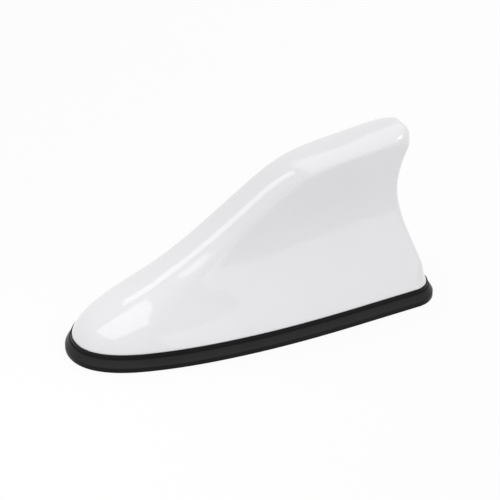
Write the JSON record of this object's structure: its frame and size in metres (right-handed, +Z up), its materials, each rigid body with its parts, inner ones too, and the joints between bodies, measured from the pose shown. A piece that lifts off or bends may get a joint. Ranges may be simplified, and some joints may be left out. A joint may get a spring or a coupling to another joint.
{
  "type": "shark fin aerial",
  "caption": "Roof aerial in a gloss white shark fin cover on a black two-tier rubber rim, stuck to a car roof, with amplifier and radiator boards inside.",
  "frame": {"origin": "centre of the rubber rim's footprint, on the roof plane", "axes": "-X to the low nose, +X to the tall tail, +Y to one side, +Z up from the roof; the outside is the same on both sides of the XZ plane"},
  "size_m": [0.168, 0.0744, 0.0749],
  "materials": {
    "cover_gloss": "gloss white paint over moulded plastic",
    "rim_rubber": "satin black moulded rubber",
    "plate_plastic": "matt black glass-filled plastic",
    "foam_tape": "grey double-sided acrylic foam tape",
    "screw_steel": "zinc-plated steel",
    "gland_rubber": "soft black rubber",
    "tinned_sheet": "tin-plated sheet metal",
    "spring_brass": "bright spring brass",
    "board_green": "green solder mask over glass-fibre board",
    "jack_gold": "gold-plated brass",
    "chip_black": "black moulded chip package",
    "ferrite_grey": "dark grey ferrite",
    "capacitor_tan": "tan fired ceramic",
    "former_white": "white moulded plastic",
    "coil_copper": "enamelled copper wire",
    "foam_grey": "open-cell grey foam"
  },
  "bodies": {
    "root": {"fin_cover": "cover_gloss", "base_gasket": "rim_rubber", "base_plate": "plate_plastic", "adhesive_pad": "foam_tape", "cover_screws": "screw_steel", "cable_grommet": "gland_rubber", "ground_plate": "tinned_sheet", "ground_spring": "spring_brass", "amplifier_board": "board_green", "board_screws": "screw_steel", "coax_jack": "jack_gold", "shield_can": "tinned_sheet", "amplifier_chip": "chip_black", "filter_inductors": "ferrite_grey", "filter_capacitors": "capacitor_tan", "coil_former": "former_white", "loading_coil": "coil_copper", "aerial_board": "board_green", "top_load_plate": "tinned_sheet", "foam_damper": "foam_grey"}
  },
  "joints": []
}
